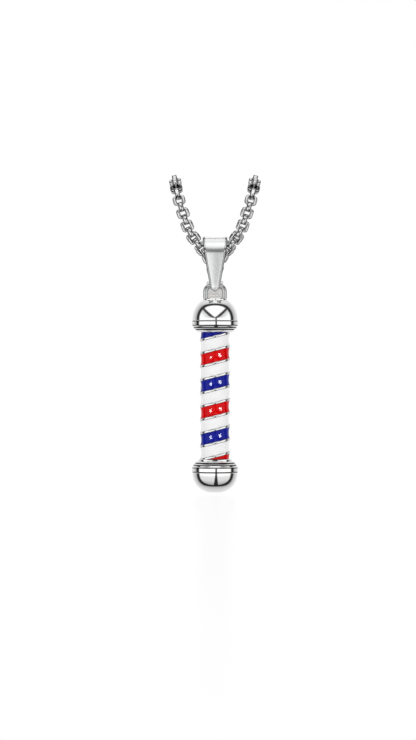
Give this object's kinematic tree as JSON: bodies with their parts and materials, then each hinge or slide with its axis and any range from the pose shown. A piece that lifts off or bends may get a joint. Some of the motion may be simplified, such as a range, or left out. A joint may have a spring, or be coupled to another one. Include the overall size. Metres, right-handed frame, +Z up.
{
  "type": "barber pole pendant necklace",
  "caption": "Striped barber-pole pendant with domed steel caps, hung by a tapered folded bail on a round box chain, with the spare chain hanked behind it.",
  "frame": {"origin": "middle of the top of the edge that the chain hangs over, midway between its front and back runs", "axes": "+Z up; the pendant hangs on the -Y side and faces -Y, the stored chain hangs on the +Y side; +X to the right seen from the front"},
  "size_m": [0.022, 0.0403, 0.0763],
  "materials": {
    "polished_steel": "mirror-polished stainless steel",
    "satin_steel": "lengthwise satin with polished bevelled edges",
    "chain_steel": "polished stainless steel links",
    "clasp_steel": "polished stainless steel",
    "enamel_red": "glossy soft enamel",
    "enamel_white": "glossy soft enamel",
    "enamel_blue": "glossy soft enamel",
    "tie_thread": "matt white cotton thread"
  },
  "bodies": {
    "chain": {"chain_link_01": "chain_steel", "chain_link_02": "chain_steel", "chain_link_03": "chain_steel", "chain_link_04": "chain_steel", "chain_link_05": "chain_steel", "chain_link_06": "chain_steel", "chain_link_07": "chain_steel", "chain_link_08": "chain_steel", "chain_link_09": "chain_steel", "chain_link_10": "chain_steel", "chain_link_11": "chain_steel", "chain_link_12": "chain_steel", "chain_link_13": "chain_steel", "chain_link_14": "chain_steel", "chain_link_15": "chain_steel", "chain_link_16": "chain_steel", "chain_link_17": "chain_steel", "chain_link_18": "chain_steel", "chain_link_19": "chain_steel", "chain_link_20": "chain_steel", "chain_link_21": "chain_steel", "chain_link_22": "chain_steel", "chain_link_23": "chain_steel", "chain_link_24": "chain_steel", "chain_link_25": "chain_steel", "chain_strand_left": "chain_steel", "chain_strand_right": "chain_steel", "chain_hank_left": "chain_steel", "chain_hank_right": "chain_steel", "chain_end_left": "chain_steel", "chain_end_right": "chain_steel", "clasp_ring": "chain_steel", "end_ring": "chain_steel", "clasp_body": "clasp_steel", "clasp_pin": "clasp_steel", "neck_tie": "tie_thread", "hank_tie": "tie_thread"},
    "bail": {"bail": "satin_steel"},
    "pendant": {"pole_core": "polished_steel", "enamel_band_01_blue": "enamel_blue", "enamel_band_02_white": "enamel_white", "enamel_band_03_red": "enamel_red", "enamel_band_04_white": "enamel_white", "enamel_band_05_blue": "enamel_blue", "enamel_band_06_white": "enamel_white", "enamel_band_07_red": "enamel_red", "enamel_band_08_white": "enamel_white", "enamel_band_09_blue": "enamel_blue", "enamel_band_10_white": "enamel_white", "enamel_band_11_red": "enamel_red", "top_cap": "polished_steel", "bottom_cap": "polished_steel", "hanging_loop": "polished_steel"},
    "clasp_lever": {"clasp_lever": "clasp_steel"}
  },
  "joints": [
    {"name": "bail_swing", "type": "hinge", "parent": "chain", "child": "bail", "pos_m": [0, -0.006, -0.0158], "axis": [-1, 0, 0], "range_deg": [-1, 90]},
    {"name": "pendant_swing", "type": "hinge", "parent": "bail", "child": "pendant", "pos_m": [0, -0.006, -0.02405], "axis": [-1, 0, 0], "range_deg": [-1, 90]},
    {"name": "clasp_lever_open", "type": "hinge", "parent": "chain", "child": "clasp_lever", "pos_m": [-0.00158, 0.01085, -0.04925], "axis": [1, 0, 0], "range_deg": [0, 22], "stiffness_Nm_per_rad": 0.0115}
  ]
}
